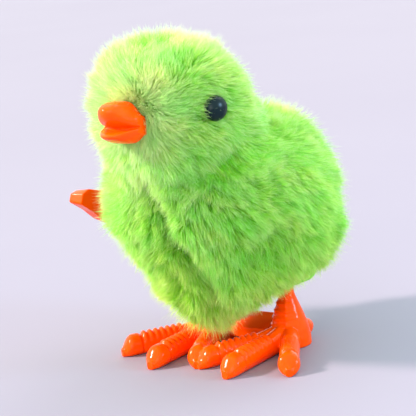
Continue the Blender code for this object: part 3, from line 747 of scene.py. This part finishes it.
def make_hem():
    """The cover's fabric hem, turned down round the ring in its opening."""
    stations = 96
    bottom, top, thickness, rounding = 13.1, 18.6, 0.4, 0.2
    section = (
        (0.0, bottom),
        (thickness / 2, bottom - rounding),
        (thickness, bottom),
        (thickness, top),
        (thickness / 2, top + rounding),
        (0.0, top),
    )
    points = []
    faces = []
    for i in range(stations):
        turn = 2 * math.pi * i / stations
        around = np.array((math.cos(turn), math.sin(turn)))
        fold = 0.10 * math.sin(11 * turn) + 0.06 * math.sin(17 * turn + 1.0)
        for out, z in section:
            x, y = OPENING_MIDDLE + (OPENING_RADII + out + fold) * around
            points.append((x, y, z))
        for j in range(len(section)):
            here = i * len(section)
            after = (i + 1) % stations * len(section)
            k = (j + 1) % len(section)
            faces.append((here + j, here + k, after + k, after + j))
    mesh = mesh_of("plush_hem", points, faces)
    face_out(mesh)
    piece = add_piece("plush_hem", mesh, "chick_body", backing_material())


def cut_hole(piece, name, middle, radii, length, axis):
    """Cuts a round or oval hole along the axis, and leaves the piece with a plain mesh."""
    grid = bmesh.new()
    bmesh.ops.create_cone(grid, cap_ends=True, segments=48, radius1=1, radius2=1, depth=length * MM)
    turn = Vector(axis).to_track_quat("Z", "Y").to_matrix().to_4x4()
    stretch = Matrix.Diagonal((radii[0] * MM, radii[1] * MM, 1, 1))
    grid.transform(Matrix.Translation(world(middle)) @ turn @ stretch)
    mesh = bpy.data.meshes.new(name)
    grid.to_mesh(mesh)
    grid.free()
    cutter = bpy.data.objects.new(name, mesh)
    bpy.context.scene.collection.objects.link(cutter)
    modifier = piece.modifiers.new(name, "BOOLEAN")
    modifier.operation = "DIFFERENCE"
    modifier.solver = "EXACT"
    modifier.object = cutter
    with bpy.context.temp_override(object=piece, active_object=piece):
        for modifier in list(piece.modifiers):
            bpy.ops.object.modifier_apply(modifier=modifier.name)
    bpy.data.objects.remove(cutter, do_unlink=True)


# Beak, eyes, key and feet

# Side outline of the bill in its middle plane: ahead of the face and height above the bill's centre
BEAK_PROFILE = (
    (-1.2, 3.3), (0.2, 3.85), (1.8, 4.0), (3.7, 3.95), (5.1, 3.55), (5.5, 2.8), (5.2, 1.8),
    (4.5, 0.8), (3.4, -0.1), (2.5, -0.6), (2.3, -0.85), (2.8, -1.0), (4.1, -1.05), (5.2, -1.2),
    (5.6, -1.6), (5.2, -2.1), (3.9, -2.75), (2.2, -3.5), (0.2, -3.9), (-1.2, -3.3),
)
BEAK_BACK = -1.2
MOUTH_LINE = -0.7

# Sections of the bill from its right edge to its left one, as shares of its half width
BEAK_SECTIONS = (
    -1.0, -0.97, -0.9, -0.78, -0.62, -0.44, -0.22, 0.0, 0.22, 0.44, 0.62, 0.78, 0.9, 0.97, 1.0,
)


def make_beak():
    """A blunt bill, a little open: a broad upper lip above the mouth line and a thinner lower lip."""
    rings = []
    for across in BEAK_SECTIONS:
        reach = math.sqrt(1 - (0.96 * across) ** 2)
        upper = 1 - 0.62 * smooth_step(abs(across), 0.40, 1.0)
        lower = 1 - 0.45 * smooth_step(abs(across), 0.55, 1.0)
        ring = []
        for ahead, height in BEAK_PROFILE:
            forward = BEAK_BACK + (ahead - BEAK_BACK) * (0.12 + 0.88 * reach)
            narrow = 4.15 - 0.12 * max(0.0, forward)
            tall = upper if height > MOUTH_LINE else lower
            rise = MOUTH_LINE + (height - MOUTH_LINE) * tall
            ring.append(BEAK + np.array((across * narrow, -forward, rise)))
        rings.append(ring)
    mesh = lofted("beak_bill", rings)
    piece = add_piece("beak_bill", mesh, "chick_body", glossy_orange("beak_orange", 0.08, 0.13))
    subdivided(piece, 3)
    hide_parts("beak")


def make_eye(side):
    name = "left" if side > 0 else "right"
    grid = bmesh.new()
    bmesh.ops.create_uvsphere(grid, u_segments=48, v_segments=32, radius=1)
    spot, out = eye_place(side)
    turn = Vector(out).to_track_quat("Z", "Y").to_matrix().to_4x4()
    stretch = Matrix.Diagonal((*(Vector(EYE_RADII) * MM), 1))
    grid.transform(Matrix.Translation(world(spot)) @ turn @ stretch)
    mesh = bpy.data.meshes.new("bead_" + name)
    grid.to_mesh(mesh)
    grid.free()
    mesh.shade_smooth()
    piece = add_piece("bead_" + name, mesh, "chick_body", bead_material())
    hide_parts("eye_" + name)


# One half of the key's outline along its wings and across them; the other half is the same, turned round
KEY_OUTLINE = (
    (9.7, -1.8), (10.1, -1.5), (10.1, 0.5), (8.6, 1.8), (5.6, 2.35), (3.4, 3.0),
    (1.8, 3.45), (0.0, 3.6), (-1.8, 3.45), (-3.4, 3.0), (-5.6, 2.35),
)
KEY_SPREAD = math.radians(27)

# Sections of the wings: place on the shaft's line, and the outline's scale along and across them
KEY_WINGS = ((-31.2, 0.92, 0.74), (-30.8, 0.95, 0.80), (-27.6, 0.95, 1.0))

# Sections of the boss: place on the shaft's line and radius
KEY_BOSS = ((-28.0, 3.6), (-27.4, 3.6), (-27.1, 3.3))


def make_key():
    """The winding key: two wings with bevelled tips that thin away from the body, on a round boss."""
    spread = np.array((0, -math.cos(KEY_SPREAD), math.sin(KEY_SPREAD)))
    across = np.array((0, math.sin(KEY_SPREAD), math.cos(KEY_SPREAD)))
    outline = KEY_OUTLINE + tuple((-u, -v) for u, v in KEY_OUTLINE)
    rings = []
    for x, wide, tall in KEY_WINGS:
        middle = np.array((x, WINDING[1], WINDING[2]))
        rings.append([middle + spread * u * wide + across * v * tall for u, v in outline])
    boss = []
    for x, radius in KEY_BOSS:
        ring = []
        for turn in np.linspace(0, 2 * math.pi, 48, endpoint=False):
            y = WINDING[1] + radius * math.cos(turn)
            z = WINDING[2] + radius * math.sin(turn)
            ring.append((x, y, z))
        boss.append(ring)
    mesh = fused("key_moulding", [lofted("wings", rings), lofted("boss", boss)], voxel=0.12, rounds=2)
    piece = add_piece("key_moulding", mesh, "winding", glossy_orange("key_orange", 0.070, 0.08))
    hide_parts("winding_key")


# Points round a toe, and where along a front toe its nail starts, as a share of its reach
TOE_POINTS = 32
NAIL_START = 0.795


def toe_ridge(t):
    """Seven ridges across the middle of a toe, 0 to 1."""
    first, last, count = 0.36, 0.79, 7
    if not first < t < last:
        return 0.0
    phase = (t - first) / (last - first) * count
    return max(0.0, math.sin(math.pi * (phase % 1.0))) ** 1.5


def toe_ring(radius, t):
    """One cross-section of a toe: across and height, with a flat sole."""
    collar = math.exp(-(((t - NAIL_START) / 0.010) ** 2))
    nail = smooth_step(t, NAIL_START, 0.825)
    wedge = smooth_step(t, 0.87, 1.0)
    wide = radius * (0.90 + 0.08 * nail - 0.07 * collar) * math.sqrt(max(0.05, 1 - 0.88 * wedge**2))
    hump = 0.9 * (1 - smooth_step(t, 0.05, 0.42))
    top = radius * (1.80 + 0.14 * nail - 0.12 * collar - 1.15 * wedge**1.5) + hump
    middle = min(radius * 0.80, top * 0.5)
    ridge = toe_ridge(t)
    ring = []
    for j in range(TOE_POINTS):
        turn = 2 * math.pi * j / TOE_POINTS
        over = max(0.0, math.sin(turn))
        rise = (top - middle) * math.sin(turn) if over > 0 else middle * 1.12 * math.sin(turn)
        x = wide * math.cos(turn)
        ring.append((x, max(middle + rise + 0.62 * ridge * over**1.1, 0.0)))
    return ring


def heel_ring(radius, t):
    """One cross-section of the short rear toe, which ends in a ball."""
    ball = 1 - 2 * radius / HEEL[1]
    collar = math.exp(-(((t - ball * 0.92) / 0.03) ** 2))
    fall = max(0.0, (t - ball) / (1 - ball))
    size = radius * (1 - 0.14 * collar) * math.sqrt(max(0.01, 1 - fall**2.2))
    ring = []
    for j in range(TOE_POINTS):
        turn = 2 * math.pi * j / TOE_POINTS
        ring.append((size * math.cos(turn), max(0.0, radius * 1.08 + size * 1.05 * math.sin(turn))))
    return ring


def toe_mesh(name, side, toe, section):
    """A toe along the floor from under the shank; section gives its outline at each station."""
    azimuth, reach, radius = toe
    angle = math.radians(azimuth)
    along = np.array((-side * math.sin(angle), -math.cos(angle), 0.0))
    across = np.array((along[1], -along[0], 0.0))
    start = np.array((side * FOOT_X, LEG_AXLE[1], 0.02))
    rings = []
    steps = 150
    for i in range(steps + 1):
        t = i / steps
        spot = start + along * reach * t
        rings.append([spot + across * x + np.array((0, 0, z)) for x, z in section(radius, t)])
    return lofted(name, rings)


# The shank from the floor up: height and radius
SHANK = (
    (0.02, 4.0), (1.7, 4.0), (3.6, 3.7), (5.2, 3.3), (6.9, 2.75), (8.4, 2.2),
    (9.6, 1.75), (10.5, 1.5), (11.8, 1.5), (13.6, 1.9), (17.4, 1.9), (17.9, 1.6),
)
SHANK_POINTS = 64
SHANK_RING_GAP = 1.4


def shank_mesh(name, side):
    """The leg: a cone with shallow rings up its front and a tendon down it."""
    rings = []
    steps = 130
    foot, top = SHANK[0][0], SHANK[-1][0]
    for i in range(steps + 1):
        height = foot + (top - foot) * i / steps
        radius = float(np.interp(height, [h for h, _ in SHANK], [r for _, r in SHANK]))
        scale = max(0.0, math.sin(2 * math.pi * height / SHANK_RING_GAP)) ** 2 * (2.4 < height < 12.0)
        ring = []
        for j in range(SHANK_POINTS):
            turn = 2 * math.pi * j / SHANK_POINTS
            front = max(0.0, -math.sin(turn + side * 0.35))
            tendon = math.exp(-(((turn - 1.5 * math.pi - side * 0.42) / 0.13) ** 2))
            tendon *= 1 - smooth_step(height, 9.0, 11.0)
            reach = radius + 0.34 * scale * front + 0.24 * tendon
            x = side * FOOT_X + reach * math.cos(turn)
            y = LEG_AXLE[1] + reach * math.sin(turn)
            ring.append((x, y, height))
        rings.append(ring)
    return lofted(name, rings)


def bridge_mesh():
    """The web between the heels, with rounded long edges; its back is drawn in towards its ends."""
    front, back, bottom, low_top, high_top = BRIDGE
    corner = 0.35
    corners = ((back, high_top, 0), (front, low_top, 90), (front, bottom, 180), (back, bottom, 270))
    outline = []
    for y, z, start in corners:
        inward_y = y - corner if y == back else y + corner
        inward_z = z + corner if z == bottom else z - corner
        for k in range(5):
            turn = math.radians(start + 22.5 * k)
            outline.append((inward_y + corner * math.cos(turn), inward_z + corner * math.sin(turn)))
    rings = []
    for x in np.linspace(-FOOT_X, FOOT_X, 25):
        inset = 2.3 * smooth_step(abs(x), 5.0, FOOT_X)
        ring = []
        for y, z in outline:
            drawn_in = inset if y > 2.0 else 0.0
            ring.append((x, y - drawn_in, z - 0.3 * drawn_in))
        rings.append(ring)
    return lofted("bridge", rings)


def make_feet():
    meshes = [bridge_mesh()]
    for side in (1, -1):
        meshes.append(shank_mesh("shank", side))
        for toe in FOOT_TOES:
            meshes.append(toe_mesh("toe", side, toe, toe_ring))
        meshes.append(toe_mesh("heel", side, HEEL, heel_ring))
    mesh = fused("feet_moulding", meshes, voxel=0.16, rounds=1)
    piece = add_piece("feet_moulding", mesh, "feet", glossy_orange("feet_orange", 0.066, 0.10))
    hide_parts("foot_pair")


# Everything carried over from the CAD, the floor, lights and camera


def finish_cad():
    """Gives every piece that is still the CAD's the look of its material slot."""
    steel = metal("drawn_steel", (0.42, 0.42, 0.44), (0.62, 0.62, 0.64), 0.30)
    brass = metal("turned_brass", (0.62, 0.43, 0.15), (0.85, 0.64, 0.28), 0.28)
    looks = {
        "plush": backing_material(),
        "stuffing": wadding(),
        "orange_plastic": glossy_orange("plain_orange", 0.07, 0.10),
        "eye_plastic": bead_material(),
        "gear_plastic": moulded_plastic("gear_ivory", (0.62, 0.59, 0.50), (0.76, 0.73, 0.64), 0.42),
        "case_plastic": moulded_plastic("case_grey", (0.10, 0.10, 0.11), (0.16, 0.16, 0.17), 0.5),
        "ring_plastic": moulded_plastic("ring_green", (0.07, 0.36, 0.004), (0.12, 0.48, 0.01), 0.6),
        "steel": steel,
        "brass": brass,
    }
    for part in frame["record"]["subparts"]:
        obj = bpy.data.objects.get(part["node"])
        if obj is None:
            continue
        for slot in obj.material_slots:
            slot.material = looks[part["material_slot"]]


def make_floor():
    bpy.ops.mesh.primitive_plane_add(size=12, location=(0, 0, 0))
    floor = bpy.context.object
    floor.name = "floor"
    look = Look("pale_floor")
    shade = look.noise(6, 2.0)
    look.link(look.ramp(shade, (0.3, (0.248, 0.216, 0.270)), (0.7, (0.258, 0.226, 0.280))), "Base Color")
    look.shader.inputs["Roughness"].default_value = 0.7
    floor.data.materials.append(look.material)


def place_lamp(lamp, middle, heading, distance):
    """Puts a lamp at this distance from the middle, along the heading, and turns it back to it."""
    obj = bpy.data.objects.new(lamp.name, lamp)
    bpy.context.scene.collection.objects.link(obj)
    away = Vector(heading).normalized()
    turn = away.to_track_quat("Z", "Y").to_matrix().to_4x4()
    obj.matrix_world = Matrix.Translation(Vector(middle) + away * distance) @ turn


def add_sun(name, heading, spread, strength, colour):
    """A soft light from far off that shines from the heading; its spread is in degrees."""
    lamp = bpy.data.lights.new(name, "SUN")
    lamp.angle = math.radians(spread)
    lamp.energy = strength
    lamp.color = colour
    place_lamp(lamp, (0, 0, 0), heading, 0.8)


def make_lights():
    scene = bpy.context.scene
    scene.view_settings.view_transform = "Standard"
    scene.cycles.diffuse_bounces = 10
    backdrop = bpy.data.worlds.new("studio")
    scene.world = backdrop
    backdrop.use_nodes = True
    shade = backdrop.node_tree.nodes["Background"]
    shade.inputs["Color"].default_value = (0.80, 0.95, 0.94, 1)
    shade.inputs["Strength"].default_value = 1.68
    add_sun("key", (-0.88, -0.62, 0.72), spread=9, strength=5.9, colour=(1.0, 0.86, 0.82))
    add_sun("front", (0.30, -1.0, 0.25), spread=40, strength=1.15, colour=(1.0, 0.98, 0.92))
    add_glint((0.94, 0.265, 0.26), distance_mm=400, size_mm=100, watts=1.1, colour=(0.42, 0.72, 1.0))
    add_sun("top", (0.15, 0.75, 0.9), spread=35, strength=1.2, colour=(0.97, 0.98, 1.0))


def add_glint(heading, distance_mm, size_mm, watts, colour):
    """A small lamp that puts a highlight on the bead eye and the plastic."""
    lamp = bpy.data.lights.new("glint", "AREA")
    lamp.shape = "DISK"
    lamp.size = size_mm * MM
    lamp.energy = watts
    lamp.color = colour
    place_lamp(lamp, world(HEAD_MIDDLE), heading, distance_mm * MM)


def make_camera():
    a, e, roll = VIEW_AZIMUTH, VIEW_ELEVATION, VIEW_ROLL
    back = Vector((math.sin(a) * math.cos(e), -math.cos(a) * math.cos(e), math.sin(e)))
    level = Vector((math.cos(a), math.sin(a), 0))
    up = back.cross(level)
    right = level * math.cos(roll) + up * math.sin(roll)
    above = back.cross(right)
    data = bpy.data.cameras.new("camera")
    data.lens = LENS
    data.clip_start = 0.02
    camera = bpy.data.objects.new("camera", data)
    bpy.context.scene.collection.objects.link(camera)
    spot = Vector(world(VIEW_TARGET)) + back * VIEW_DISTANCE * MM
    turn = Matrix((right, above, back)).transposed().to_4x4()
    camera.matrix_world = Matrix.Translation(spot) @ turn
    bpy.context.scene.camera = camera


def main():
    make_camera()
    make_lights()
    make_floor()
    finish_cad()
    make_backing()
    make_hem()
    make_pile()
    make_beak()
    for side in (1, -1):
        make_eye(side)
    make_key()
    make_feet()


main()
